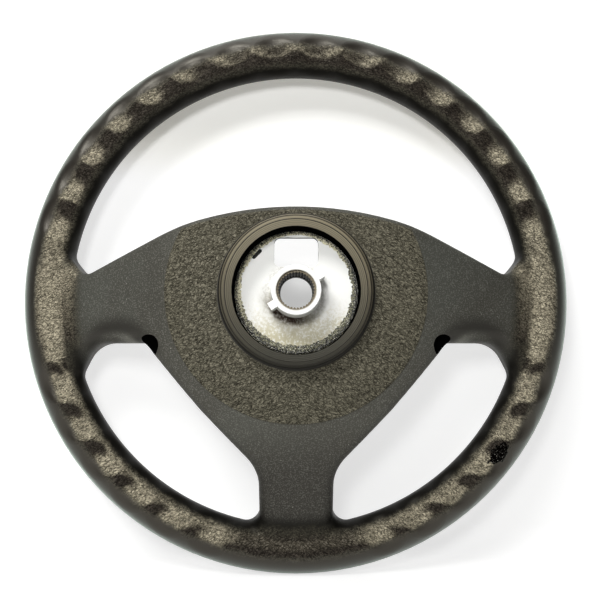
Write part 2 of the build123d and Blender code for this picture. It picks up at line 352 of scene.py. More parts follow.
    def between(self, kind: Blend, share: Value, low: object, high: object) -> Socket:
        """Blend two colours or two numbers.

        Args:
            kind: which of them.
            share: 0 for the first, 1 for the second.
            low: the first.
            high: the second.

        Returns:
            The blend.
        """
        data_type, first, second, result = kind.value
        made = self.node("ShaderNodeMix", data_type=data_type)
        self.feed(made.inputs[0], share)
        self.feed(made.inputs[first], low)
        self.feed(made.inputs[second], high)
        return made.outputs[result]

    def mix(self, share: Value, low: object, high: object) -> Socket:
        """Blend two colours."""
        return self.between(Blend.COLOUR, share, low, high)

    def blend(self, share: Value, low: Value, high: Value) -> Socket:
        """Blend two numbers."""
        return self.between(Blend.NUMBER, share, low, high)

    def bump(self, height: Socket, depth: float, strength: float, base: Optional[Socket] = None) -> Socket:
        """Turn a height from 0 to 1 into a bent normal.

        Args:
            height: the height's share.
            depth: the full height, in metres.
            strength: how much of it shows.
            base: the normal that it bends, where that is bent already.

        Returns:
            The normal.
        """
        made = self.node("ShaderNodeBump")
        made.inputs["Strength"].default_value = strength
        made.inputs["Distance"].default_value = depth
        self.feed(made.inputs["Height"], height)
        if base is not None:
            self.feed(made.inputs["Normal"], base)
        return made.outputs[0]

    def surface(self, **inputs: object) -> bpy.types.Material:
        """Close the material with one principled surface.

        Args:
            inputs: the surface's values or sockets by name.

        Returns:
            The finished material.
        """
        made = self.node("ShaderNodeBsdfPrincipled")
        for key, value in inputs.items():
            self.feed(made.inputs[key.replace("_", " ")], value)
        self.tree.links.new(made.outputs[0], self.output.inputs[0])
        return self.material


@dataclass(frozen=True)
class FineRelief:
    """A fine relief: its noise, its depth in metres and how much of it shows."""

    pattern: Noise
    depth: float
    strength: float

    def normal(self, g: Graph, place: Socket) -> Socket:
        """Bend a surface's normal by the relief."""
        return g.bump(g.noise(place, *self.pattern), self.depth, self.strength)


@dataclass(frozen=True)
class RimTube:
    """The rim's round tube, with the grained band along its back."""

    radius: float = 0.172
    plane: float = 0.0335
    band_lean: float = 0.33
    start: Ramp = (0.150, 0.157)
    band_out: Ramp = (0.68, 0.28)
    band_in: Ramp = (-0.72, -0.20)
    edge: Noise = (190.0, 3.0, 0.5)
    edge_sway: float = 0.30
    root_sway: float = 0.01
    root_start: Ramp = (0.143, 0.155)
    root_end: Ramp = (0.1780, 0.1745)
    root_back: Ramp = (0.006, 0.010)
    root_middle: float = -0.006
    root_half: Ramp = (0.033, 0.021)

    def lean(self, g: Graph, spot: Spot) -> Socket:
        """Angle round the tube, outwards from the middle of its grained band.

        Args:
            g: the material's wiring.
            spot: the point on the cover.

        Returns:
            The angle, in radians.
        """
        out = g.less(spot.radius, self.radius)
        back = g.less(self.plane, spot.y)
        return g.add(g.math("ARCTAN2", out, back), self.band_lean)

    def band(self, g: Graph, spot: Spot) -> Socket:
        """Find the grained band, with its wider ends where the side spokes join.

        Args:
            g: the material's wiring.
            spot: the point on the cover.

        Returns:
            The band's mask.
        """
        wobble = g.sway(g.noise(spot.place, *self.edge), self.edge_sway)
        way = g.add(self.lean(g, spot), wobble)
        tube = g.times(
            g.step(way, *self.band_out),
            g.step(way, *self.band_in),
            g.step(spot.radius, *self.start),
        )
        shift = g.times(wobble, self.root_sway)
        root = g.times(
            g.step(g.add(spot.radius, shift), *self.root_start),
            g.step(spot.radius, *self.root_end),
            g.step(g.less(self.plane, spot.y), *self.root_back),
            g.step(g.add(g.size(g.less(spot.z, self.root_middle)), shift), *self.root_half),
        )
        return g.most(tube, root)


@dataclass(frozen=True)
class HubPad:
    """The grained pad on the hub's back, between the collar and the hub's edge."""

    radius: float = 0.083
    crown_radius: float = 0.222
    hub_top: float = 0.0548
    inset: float = 0.0026
    fade: Pair = (0.0003, -0.0005)
    back: Ramp = (-0.010, -0.013)

    def mask(self, g: Graph, spot: Spot) -> Socket:
        """Find the pad.

        Args:
            g: the material's wiring.
            spot: the point on the cover.

        Returns:
            The pad's mask.
        """
        crown = g.length(spot.x, g.less(spot.z, self.hub_top - self.crown_radius))
        crown_edge = self.crown_radius - self.inset
        return g.times(
            g.step(spot.radius, *(self.radius + part for part in self.fade)),
            g.step(spot.radius, *COLLAR_FOOT),
            g.step(crown, *(crown_edge + part for part in self.fade)),
            g.step(spot.y, *self.back),
        )


@dataclass(frozen=True)
class TurnedCollar:
    """The collar's lathe marks: fine lines, grooves at its edges, painted light on its upper part and a
    painted shadow at its foot.
    """

    back: Ramp = (-0.0160, -0.0168)
    bore: Ramp = (0.0400, 0.0397)
    bore_mouth: Ramp = (-0.0292, -0.0284)
    flat_edge: Ramp = (0.0436, 0.0428)
    flat_share: float = 0.25
    line_rate: float = 6200.0
    line_wander: float = 0.0006
    line_dark: Ramp = (0.2, 0.9)
    line_share: float = 0.5
    grooves: tuple[Pair, ...] = ((0.0489, 0.0012), (0.0462, 0.0005), (0.0438, 0.0005))
    groove_core: float = 0.3
    top_light_from: Ramp = (-0.050, 0.052)
    top_light_sway: float = 0.03
    foot_up: Ramp = (-0.0245, -0.0195)
    foot_out: Ramp = (0.0460, 0.0468)
    foot_low: Ramp = (0.02, -0.02)
    foot_share: Pair = (0.5, 1.0)
    lit_top: Colour = linear(128, 120, 99)
    plain_turned: Colour = linear(40, 40, 34)
    groove: Colour = linear(16, 13, 10)
    shadow: Colour = (0.0015, 0.0015, 0.0015)

    def mask(self, g: Graph, spot: Spot) -> Socket:
        """Find the collar by its radius and its height over the pad."""
        return g.times(g.step(spot.radius, *reversed(COLLAR_FOOT)), g.step(spot.y, *self.back))

    def bore_mask(self, g: Graph, spot: Spot) -> Socket:
        """Find the collar bore's wall, which is painted with shade."""
        return g.times(g.step(spot.radius, *self.bore), g.step(spot.y, *self.bore_mouth))

    def marks(self, g: Graph, spot: Spot, tone: Socket) -> tuple[Socket, Socket]:
        """Draw the turning marks, with painted light on the upper part and a painted shadow at the foot.

        Args:
            g: the material's wiring.
            spot: the point on the cover.
            tone: slow noise that makes the lines uneven.

        Returns:
            The lines' height, -1 to 1, and the collar's colour.
        """
        uneven = g.add(spot.radius, g.times(tone, self.line_wander))
        lines = g.math("SINE", g.times(uneven, self.line_rate))
        # Painted light: the collar is lighter towards the top and darker towards the bottom.
        dust_and_light = g.step(g.add(spot.z, g.sway(tone, self.top_light_sway)), *self.top_light_from)
        colour = g.mix(dust_and_light, self.plain_turned, self.lit_top)
        colour = g.mix(g.times(g.step(lines, *self.line_dark), self.line_share), colour, self.groove)
        colour = g.mix(g.times(g.step(spot.radius, *self.flat_edge), self.flat_share), colour, self.plain_turned)
        # Dark rings; the outermost is painted shade where the collar's foot meets the pad.
        for radius, half in self.grooves:
            off = g.size(g.less(uneven, radius + self.line_wander / 2))
            colour = g.mix(g.step(off, half, half * self.groove_core), colour, self.groove)
        # Painted shadow round the collar's foot, deeper towards the bottom.
        foot = g.times(g.step(spot.y, *self.foot_up), g.step(spot.radius, *self.foot_out))
        depth = g.blend(g.step(spot.z, *self.foot_low), *self.foot_share)
        return lines, g.mix(g.times(foot, depth), colour, self.shadow)


@dataclass(frozen=True)
class ScallopRow:
    """A run of finger scallops on both halves of the rim, in degrees from its start."""

    start: float
    first: float
    pitch: float
    count: int
    deep: float
    end: float = 0.02

    def hollows(self, g: Graph, turn: Socket) -> Socket:
        """Hollow out one scallop after another, each between a bowl and a wave.

        Args:
            g: the material's wiring.
            turn: angle from the rim's top, without its sign.

        Returns:
            The hollows' depth, up to the row's own.
        """
        from_start = g.size(g.less(turn, math.radians(self.start)))
        row_edge = math.radians(self.first - self.pitch / 2)
        step = g.over(g.less(from_start, row_edge), math.radians(self.pitch))
        share = g.less(g.math("FRACT", step), 0.5)
        bowl = g.less(1.0, g.times(4.0, g.times(share, share)))
        wave = g.blend(0.5, g.math("COSINE", g.times(share, math.tau)), 1.0)
        ends = g.times(g.step(step, 0.0, self.end), g.step(step, self.count, self.count - self.end))
        return g.times(g.blend(0.5, bowl, wave), ends, self.deep)


@dataclass(frozen=True)
class FingerScallops:
    """Shading that deepens the scallops where the fingertips rest, inside the rim's back."""

    upper: ScallopRow = ScallopRow(start=0.0, first=5.0, pitch=9.6, count=8, deep=1.0)
    lower: ScallopRow = ScallopRow(start=180.0, first=20.0, pitch=10.0, count=6, deep=2.2)
    depth: float = 0.0016
    outer: Ramp = (0.66, -0.25)
    inner: Ramp = (-1.15, -0.35)

    def relief(self, g: Graph, spot: Spot, tube: RimTube) -> Socket:
        """Bend the cover's normal into the scallops.

        Args:
            g: the material's wiring.
            spot: the point on the cover.
            tube: the rim that they lie on.

        Returns:
            The bent normal.
        """
        turn = g.size(g.math("ARCTAN2", spot.x, spot.z))
        rows = g.add(self.upper.hollows(g, turn), self.lower.hollows(g, turn))
        lean = tube.lean(g, spot)
        sides = g.times(
            g.step(lean, *self.outer),
            g.step(lean, *self.inner),
            g.step(spot.radius, *tube.start),
        )
        return g.bump(g.rest(g.times(rows, sides)), self.depth, 1.0)


@dataclass(frozen=True)
class PaintedBandLight:
    """Painted light and shade on the rim's band: lighter where it faces up, and on the lower half where it
    faces in; darker at the bottom spoke's root.
    """

    lower_half: Ramp = (0.06, -0.06)
    inward: float = 0.6
    foot: Ramp = (-0.02, -0.11)
    foot_loss: float = 0.40
    uneven: float = 0.2
    facing_lit: Ramp = (-0.28, 0.10)
    spoke_side: Ramp = (0.052, 0.034)
    spoke_top: Ramp = (-0.120, -0.140)
    spoke_loss: float = 0.85

    def share(self, g: Graph, spot: Spot, relief: Socket, tone: Socket) -> Socket:
        """Find how much painted light falls at a point.

        Args:
            g: the material's wiring.
            spot: the point on the cover.
            relief: the scallops' normal.
            tone: slow noise that makes the painted light uneven.

        Returns:
            The painted light's share.
        """
        across, _, upward = g.split(relief)
        outward = g.over(g.add(g.times(across, spot.x), g.times(upward, spot.z)), spot.radius)
        inward = g.times(outward, g.times(g.step(spot.z, *self.lower_half), -self.inward))
        inward = g.less(inward, g.times(g.step(spot.z, *self.foot), self.foot_loss))
        facing = g.add(upward, g.add(inward, g.sway(tone, self.uneven)))
        spoke = g.times(g.step(g.size(spot.x), *self.spoke_side), g.step(spot.z, *self.spoke_top))
        return g.times(g.step(facing, *self.facing_lit), g.rest(g.times(spoke, self.spoke_loss)))


@dataclass(frozen=True)
class LeatherGrain:
    """Wrinkled leather cells, drawn out along each half's slant, and a fine tooth."""

    cells: float = 650.0
    drift: float = 260.0
    drift_reach: float = 0.0026
    along: Pair = (0.52, -0.24)
    across: Pair = (0.57, 1.22)
    fold_rate: float = 1.1
    fold_width: Ramp = (0.0, 0.09)
    fold_floor: float = 0.28
    break_rate: float = 0.7
    break_from: Ramp = (0.36, 0.62)
    line_width: Ramp = (0.26, 0.0)
    line_depth: Pair = (0.2, 0.8)
    layers: Pair = (2.0, 0.5)
    tooth: Noise = (2400.0, 3.0, 0.6)

    def heights(self, g: Graph, place: Socket) -> tuple[Socket, Socket]:
        """Draw the leather and the tooth.

        Args:
            g: the material's wiring.
            place: position on the cover.

        Returns:
            The leather's height and the tooth's, 0 to 1.
        """
        x, y, z = g.split(g.warp(place, self.drift, self.drift_reach))
        side = g.size(x)
        along = g.add(g.times(side, self.along[0]), g.times(z, self.along[1]))
        across = g.add(g.times(side, self.across[0]), g.times(z, self.across[1]))
        drawn = g.join(along, y, across)
        edge, _ = g.cells(drawn, self.cells, Cells.EDGE)
        fold = g.size(g.less(g.noise(drawn, self.cells * self.fold_rate, *self.layers), 0.5))
        wrinkle = g.step(fold, *self.fold_width)
        broken = g.step(g.noise(drawn, self.cells * self.break_rate, *self.layers), *self.break_from)
        line = g.times(g.step(edge, *self.line_width), g.blend(broken, *self.line_depth))
        leather = g.times(g.rest(line), g.blend(wrinkle, self.fold_floor, 1.0))
        return leather, g.noise(place, *self.tooth)


@dataclass(frozen=True)
class DustSpecks:
    """Small bright specks of dust and a faint mottle between them."""

    cells: float = 420.0
    speck: Ramp = (0.16, 0.08)
    chance: Ramp = (0.93, 0.95)
    speck_share: float = 0.6
    mottle: Noise = (1300.0, 1.0, 0.5)
    mottle_from: Ramp = (0.50, 0.68)
    mottle_share: float = 0.13

    def mask(self, g: Graph, place: Socket) -> Socket:
        """Scatter the specks.

        Args:
            g: the material's wiring.
            place: position on the cover.

        Returns:
            The specks' mask.
        """
        near, chance = g.cells(place, self.cells, Cells.CENTRE)
        bright = g.times(g.step(near, *self.speck), g.step(g.split(chance)[0], *self.chance))
        mottle = g.step(g.noise(place, *self.mottle), *self.mottle_from)
        return g.most(g.times(bright, self.speck_share), g.times(mottle, self.mottle_share))


@dataclass(frozen=True)
class SpokeRoll:
    """Painted shade and light for the rolled lower edge of each side spoke: a shaded crease over it and a
    highlight on the roll.
    """

    middle: Pair = (0.1165, -0.0455)
    half: Pair = (0.0250, 0.0240)
    back: Ramp = (0.030, 0.024)
    upper: Ramp = (0.05, 0.55)
    crease_inner: Ramp = (0.70, 0.95)
    crease_outer: Ramp = (1.45, 1.0)
    crease_share: float = 0.95
    roll_edge: Ramp = (0.92, 0.66)
    roll_hubward: Ramp = (0.10, -0.45)
    roll_share: float = 0.30

    def masks(self, g: Graph, spot: Spot) -> tuple[Socket, Socket]:
        """Find the painted crease shade and the painted roll highlight.

        Args:
            g: the material's wiring.
            spot: the point on the cover.

        Returns:
            The crease shade's mask and the roll highlight's.
        """
        across = g.over(g.less(g.size(spot.x), self.middle[0]), self.half[0])
        down = g.over(g.less(spot.z, self.middle[1]), self.half[1])
        reach = g.length(across, down)
        behind = g.times(g.step(spot.y, *self.back), g.step(down, *self.upper))
        crease_shade = g.times(g.step(reach, *self.crease_inner), g.step(reach, *self.crease_outer), behind)
        painted_roll = g.times(g.step(reach, *self.roll_edge), g.step(across, *self.roll_hubward), behind)
        return g.times(crease_shade, self.crease_share), g.times(painted_roll, self.roll_share)


@dataclass(frozen=True)
class AccessHoles:
    """The two slanted access holes beside the hub, by the right one's place."""

    middle: Point = (0.085366, -0.001131, -0.02993)
    way: Point = (0.812758, -0.469472, -0.344995)
    radius: float = 0.00675
    fade: Pair = (0.0003, 0.0001)

    def mask(self, g: Graph, spot: Spot) -> Socket:
        """Find the holes' walls, which are painted with shade.

        Args:
            g: the material's wiring.
            spot: the point on the cover.

        Returns:
            The walls' mask.
        """
        along: Value = 0.0
        square: Value = 0.0
        for part, middle, way in zip((g.size(spot.x), spot.y, spot.z), self.middle, self.way):
            off = g.less(part, middle)
            along = g.add(along, g.times(off, way))
            square = g.add(square, g.times(off, off))
        beside = g.math("SQRT", g.most(0.0, g.less(square, g.times(along, along))))
        return g.step(beside, *(self.radius + part for part in self.fade))


@dataclass(frozen=True)
class TornSpot:
    """The ragged spot on the rim where the skin is torn off."""

    middle: Pair = (0.1353, -0.1059)
    half_out: float = 0.0046
    half_along: float = 0.0086
    ragged: Noise = (330.0, 4.0, 0.65)
    ragged_sway: float = 1.5
    edge: Ramp = (1.06, 0.94)
    back: Ramp = (0.034, 0.030)
    relief: Noise = (900.0, 4.0, 0.7)

    def mask(self, g: Graph, spot: Spot) -> Socket:
        """Find the spot.

        Args:
            g: the material's wiring.
            spot: the point on the cover.

        Returns:
            The spot's mask.
        """
        far = math.hypot(*self.middle)
        way_x = self.middle[0] / far
        way_z = self.middle[1] / far
        dx = g.less(spot.x, self.middle[0])
        dz = g.less(spot.z, self.middle[1])
        outward = g.add(g.times(dx, way_x), g.times(dz, way_z))
        along = g.add(g.times(dx, -way_z), g.times(dz, way_x))
        reach = g.length(g.over(outward, self.half_out), g.over(along, self.half_along))
        ragged = g.sway(g.noise(spot.place, *self.ragged), self.ragged_sway)
        return g.times(g.step(g.add(reach, ragged), *self.edge), g.step(spot.y, *self.back))


@dataclass(frozen=True)
class SkinMasks:
    """Where each kind of skin lies, as shares from 0 to 1."""

    band: Socket
    grain: Socket
    collar: Socket
    rim: Socket
    inside: Socket
    shaded_pit: Socket
    tear: Socket


@dataclass(frozen=True)
class MouldedSkin:
    """Self-skinned foam: matte on the spokes, leather grain on hub pad and scallops."""

    tube: RimTube = RimTube()
    pad: HubPad = HubPad()
    collar: TurnedCollar = TurnedCollar()
    scallops: FingerScallops = FingerScallops()
    band_light: PaintedBandLight = PaintedBandLight()
    leather: LeatherGrain = LeatherGrain()
    specks: DustSpecks = DustSpecks()
    painted_roll: SpokeRoll = SpokeRoll()
    holes: AccessHoles = AccessHoles()
    torn: TornSpot = TornSpot()
    tone: Noise = (18.0, 3.0, 0.55)
    tone_from: Ramp = (0.3, 0.7)
    lower_spoke: Ramp = (-0.080, -0.120)
    rim_start: Ramp = (0.142, 0.154)
    inner_side: Ramp = (0.004, -0.003)
    glints: Noise = (1400.0, 1.0, 0.5)
    glints_from: Ramp = (0.60, 0.66)
    relief_depth: float = 0.00036
    tooth_height: float = 0.10
    line_height: float = 0.12
    matte: Colour = linear(57, 58, 53)
    dusky: Colour = linear(45, 44, 39)
    shaded: Colour = linear(8, 6, 4)
    flank: Colour = linear(11, 10, 8)
    outside: Colour = linear(26, 21, 17)
    pad_ridge: Colour = linear(107, 103, 87)
    pad_groove: Colour = linear(14, 12, 9)
    rim_ridge_lit: Colour = linear(180, 171, 147)
    rim_shade: Colour = linear(46, 39, 32)
    rim_groove: Colour = linear(8, 6, 5)
    dust_and_light: Colour = linear(196, 196, 184)
    hole_shade: Colour = (0.0015, 0.0015, 0.0015)
    torn_black: Colour = (0.0012, 0.0010, 0.0008)
    sheen: Colour = (1.0, 0.95, 0.82)
    bloom: Colour = (0.82, 1.0, 0.88)
    bloom_rough: float = 0.35
    # Roughness and shine: a pair goes from hollow to top, outside to inside or plain to glinting.
    plain_rough: Pair = (0.52, 0.64)
    rim_rough: Pair = (0.40, 0.42)
    grain_rough: Pair = (0.75, 0.50)
    collar_rough: float = 0.55
    torn_rough: Pair = (0.75, 0.16)
    plain_shine: float = 0.55
    flank_shine: float = 0.12
    grain_shine: Pair = (0.05, 0.45)
    collar_shine: float = 0.3
    torn_shine: Pair = (0.0, 0.6)

    def make(self) -> bpy.types.Material:
        """Wire the skin's material.

        Returns:
            The finished material.
        """
        g = Graph("moulded_skin")
        spot = g.spot()
        masks = self.masks(g, spot)
        tone = g.noise(spot.place, *self.tone)
        leather, tooth = self.leather.heights(g, spot.place)
        relief = self.scallops.relief(g, spot, self.tube)
        lines, turned = self.collar.marks(g, spot, tone)
        glints = g.step(g.noise(spot.place, *self.glints), *self.glints_from)

        plain = g.mix(masks.collar, self.plain_colour(g, spot, masks, tone), turned)
        # Painted light and shade on the rim band's leather ridges: light where the band faces up, shaded
        # where it faces away.
        dust_and_light = self.band_light.share(g, spot, relief, tone)
        ridge = g.mix(masks.band, self.pad_ridge, g.mix(dust_and_light, self.rim_shade, self.rim_ridge_lit))
        groove = g.mix(masks.band, self.pad_groove, self.rim_groove)
        colour = g.mix(masks.grain, plain, g.mix(leather, groove, ridge))
        # Painted shade: the access holes' walls and the collar bore's wall are near black, with no shine.
        colour = g.mix(masks.shaded_pit, colour, self.hole_shade)
        colour = g.mix(masks.tear, colour, self.torn_black)

        tooth_height = g.times(tooth, self.tooth_height)
        line_height = g.times(lines, self.line_height)
        torn_height = g.noise(spot.place, *self.torn.relief)
        height = self.layers(g, masks, tooth_height, leather, line_height, torn_height)
        rim_rough = g.blend(masks.inside, *self.rim_rough)
        plain_rough = g.blend(masks.rim, g.blend(tooth, *self.plain_rough), rim_rough)
        grain_rough = g.blend(leather, *self.grain_rough)
        torn_rough = g.blend(glints, *self.torn_rough)
        rough = self.layers(g, masks, plain_rough, grain_rough, self.collar_rough, torn_rough)
        plain_shine = g.blend(g.times(masks.rim, masks.inside), self.plain_shine, self.flank_shine)
        grain_shine = g.blend(leather, *self.grain_shine)
        torn_shine = g.blend(glints, *self.torn_shine)
        shine = self.layers(g, masks, plain_shine, grain_shine, self.collar_shine, torn_shine)
        return g.surface(
            Base_Color=colour,
            Roughness=rough,
            Normal=g.bump(height, self.relief_depth, 1.0, relief),
            Specular_IOR_Level=g.blend(masks.shaded_pit, shine, 0.0),
            Specular_Tint=self.sheen,
            Sheen_Weight=g.times(masks.rim, g.rest(g.most(masks.inside, masks.grain))),
            Sheen_Roughness=self.bloom_rough,
            Sheen_Tint=self.bloom,
        )

    def masks(self, g: Graph, spot: Spot) -> SkinMasks:
        """Find where each kind of skin lies.

        Args:
            g: the material's wiring.
            spot: the point on the cover.

        Returns:
            The masks.
        """
        band = self.tube.band(g, spot)
        return SkinMasks(
            band=band,
            grain=g.most(band, self.pad.mask(g, spot)),
            collar=self.collar.mask(g, spot),
            rim=g.step(spot.radius, *self.rim_start),
            inside=g.step(g.less(spot.radius, self.tube.radius), *self.inner_side),
            shaded_pit=g.most(self.holes.mask(g, spot), self.collar.bore_mask(g, spot)),
            tear=self.torn.mask(g, spot),
        )

    def plain_colour(self, g: Graph, spot: Spot, masks: SkinMasks, tone: Socket) -> Socket:
        """Colour the skin that has no grain: spokes, hub sides and the rim's two flanks.

        Args:
            g: the material's wiring.
            spot: the point on the cover.
            masks: where each kind of skin lies.
            tone: slow noise that makes it uneven.

        Returns:
            The colour.
        """
        colour = g.mix(g.step(tone, *self.tone_from), self.dusky, self.matte)
        colour = g.mix(g.step(spot.z, *self.lower_spoke), colour, self.shaded)
        colour = g.mix(self.specks.mask(g, spot.place), colour, self.dust_and_light)
        colour = g.mix(masks.rim, colour, g.mix(masks.inside, self.outside, self.flank))
        # Painted shade along the crease over each side spoke's lower edge, and a painted highlight on the
        # rolled edge.
        crease_shade, painted_roll = self.painted_roll.masks(g, spot)
        colour = g.mix(painted_roll, colour, self.dust_and_light)
        return g.mix(crease_shade, colour, self.flank)

    def layers(
        self, g: Graph, masks: SkinMasks, plain: Value, grain: Value, collar: Value, torn: Value
    ) -> Socket:
        """Give each kind of skin its own value.

        Args:
            g: the material's wiring.
            masks: where each kind of skin lies.
            plain, grain, collar, torn: the value on each kind.

        Returns:
            The value at a point.
        """
        value = g.blend(masks.collar, g.blend(masks.grain, plain, grain), collar)
        return g.blend(masks.tear, value, torn)


@dataclass(frozen=True)
class CastAlloy:
    """Bright die-cast alloy with rust bloom and grime round the boss, and painted shade on the walls
    through the plate.
    """

    bright: Colour = (0.88, 0.88, 0.85)
    tan: Colour = linear(200, 193, 162)
    rust: Colour = linear(52, 34, 20)
    smudge: Colour = linear(120, 112, 92)
    wall_shade: Colour = linear(26, 22, 17)
    mottle: Noise = (520.0, 5.0, 0.72)
    cloud: Noise = (70.0, 3.0, 0.6)
    cloud_sway: float = 0.010
    plate_over: Ramp = (-0.0098, -0.0082)
    plate_under: Ramp = (-0.0068, -0.0072)
    tan_from: Ramp = (0.002, -0.034)
    tan_sway: float = 2.0
    tan_gain: float = 0.14
    tan_speckle: Ramp = (0.50, 0.66)
    tan_floor: float = 0.22
    rust_way: float = math.radians(-118.0)
    rust_facing: Ramp = (0.60, 0.92)
    rust_reach: Ramp = (0.0225, 0.0180)
    rust_mottle: Ramp = (0.30, 0.55)
    bloom_facing: Ramp = (0.15, 0.85)
    bloom_reach: Ramp = (0.0285, 0.0165)
    bloom_floor: float = 0.35
    around_reach: Ramp = (0.0225, 0.0175)
    around_mottle: Ramp = (0.35, 0.70)
    around_share: float = 0.45
    mouth_radius: Ramp = (0.01315, 0.0128)
    mouth_back: Ramp = (-0.0310, -0.0300)
    mouth_share: float = 0.8
    wall_back: Ramp = (-0.0074, -0.0071)
    wall_front: Ramp = (-0.0024, -0.0027)
    wall_radius: Ramp = (0.015, 0.016)
    rough: Pair = (0.58, 0.80)
    metal: float = 0.10
    pitting: FineRelief = FineRelief((1000.0, 4.0, 0.65), 0.00025, 0.4)

    def make(self) -> bpy.types.Material:
        """Wire the alloy's material.

        Returns:
            The finished material.
        """
        g = Graph("cast_alloy")
        spot = g.spot()
        mottle = g.noise(spot.place, *self.mottle)
        drift = g.sway(g.noise(spot.place, *self.cloud), self.cloud_sway)
        spread = g.add(spot.radius, drift)
        plate = g.times(g.step(spot.y, *self.plate_over), g.step(spot.y, *self.plate_under))
        toward = g.add(g.times(spot.x, math.cos(self.rust_way)), g.times(spot.z, math.sin(self.rust_way)))
        facing = g.over(toward, spot.radius)
        low = g.step(g.add(spot.z, g.times(drift, self.tan_sway)), *self.tan_from)
        speckle = g.step(g.add(mottle, g.times(low, self.tan_gain)), *self.tan_speckle)
        tanned = g.times(low, plate, g.blend(speckle, self.tan_floor, 1.0))
        bloom = g.times(g.step(facing, *self.bloom_facing), g.step(spread, *self.bloom_reach), plate)
        rusted = g.times(
            g.step(facing, *self.rust_facing),
            g.step(spread, *self.rust_reach),
            plate,
            g.step(mottle, *self.rust_mottle),
        )
        around = g.times(g.step(spread, *self.around_reach), plate, g.step(mottle, *self.around_mottle))
        mouth = g.times(g.step(spot.radius, *self.mouth_radius), g.step(spot.y, *self.mouth_back))
        wall = g.times(
            g.step(spot.y, *self.wall_back),
            g.step(spot.y, *self.wall_front),
            g.step(spot.radius, *self.wall_radius),
        )
        colour = g.mix(tanned, self.bright, self.tan)
        colour = g.mix(g.times(around, self.around_share), colour, self.smudge)
        colour = g.mix(g.times(bloom, g.blend(mottle, self.bloom_floor, 1.0)), colour, self.smudge)
        colour = g.mix(rusted, colour, self.rust)
        colour = g.mix(g.times(mouth, self.mouth_share), colour, self.smudge)
        # Painted shade: the plate's walls, such as the cable window's, are near black.
        colour = g.mix(wall, colour, self.wall_shade)
        return g.surface(
            Base_Color=colour,
            Roughness=g.blend(g.most(tanned, rusted, bloom), *self.rough),
            Normal=self.pitting.normal(g, spot.place),
            Metallic=self.metal,
        )


@dataclass(frozen=True)
class FlashSkin:
    """Torn edge of the foam's skin, dark and olive with painted bright glints."""

    dark: Colour = linear(20, 19, 14)
    olive: Colour = linear(132, 130, 102)
    cream: Colour = linear(222, 216, 182)
    painted_glint: Colour = linear(240, 238, 220)
    patches: Noise = (1100.0, 3.0, 0.7)
    patches_from: Ramp = (0.47, 0.55)
    glints: Noise = (1500.0, 2.0, 0.6)
    glints_from: Ramp = (0.60, 0.66)
    upper: Ramp = (-0.012, 0.022)
    upper_slant: float = 0.5
    upper_gain: float = 0.08
    outer: Ramp = (0.0364, 0.0388)
    outer_gain: float = -0.12
    rough: Pair = (0.6, 0.3)
    lumps: FineRelief = FineRelief((1300.0, 3.0, 0.65), 0.0005, 0.8)

    def make(self) -> bpy.types.Material:
        """Wire the flash's material.

        Returns:
            The finished material.
        """
        g = Graph("flash_skin")
        spot = g.spot()
        patchy = g.noise(spot.place, *self.patches)
        spark = g.noise(spot.place, *self.glints)
        upper = g.step(g.less(spot.z, g.times(spot.x, self.upper_slant)), *self.upper)
        outer = g.times(g.step(spot.radius, *self.outer), self.outer_gain)
        share = g.add(patchy, g.add(outer, g.times(upper, self.upper_gain)))
        light = g.mix(upper, self.olive, self.cream)
        colour = g.mix(g.step(share, *self.patches_from), self.dark, light)
        # Painted highlight: bright glint specks in the colour.
        colour = g.mix(g.step(spark, *self.glints_from), colour, self.painted_glint)
        return g.surface(
            Base_Color=colour,
            Roughness=g.blend(spark, *self.rough),
            Normal=self.lumps.normal(g, spot.place),
        )


@dataclass(frozen=True)
class TurnedSteel:
    """Dark oiled steel of the splined bush and the rim's core ring."""

    name: str
    bare: Colour = linear(98, 90, 74)
    oil: Colour = linear(14, 12, 9)
    end: Colour = linear(112, 104, 88)
    end_face: Ramp = (-0.0268, -0.0274)
    stain: Noise = (300.0, 4.0, 0.6)
    stain_from: Ramp = (0.45, 0.85)
    end_stain: Ramp = (0.35, 0.65)
    rough: Pair = (0.45, 0.7)
    metal: float = 0.7
    scratches: FineRelief = FineRelief((1500.0, 3.0, 0.6), 0.0001, 0.4)

    def make(self) -> bpy.types.Material:
        """Wire the steel's material.

        Returns:
            The finished material.
        """
        g = Graph(self.name)
        spot = g.spot()
        stain = g.noise(spot.place, *self.stain)
        colour = g.mix(g.step(stain, *self.stain_from), self.oil, self.bare)
        worn = g.mix(g.step(stain, *self.end_stain), self.bare, self.end)
        colour = g.mix(g.step(spot.y, *self.end_face), colour, worn)
        return g.surface(
            Base_Color=colour,
            Roughness=g.blend(stain, *self.rough),
            Normal=self.scratches.normal(g, spot.place),
            Metallic=self.metal,
        )


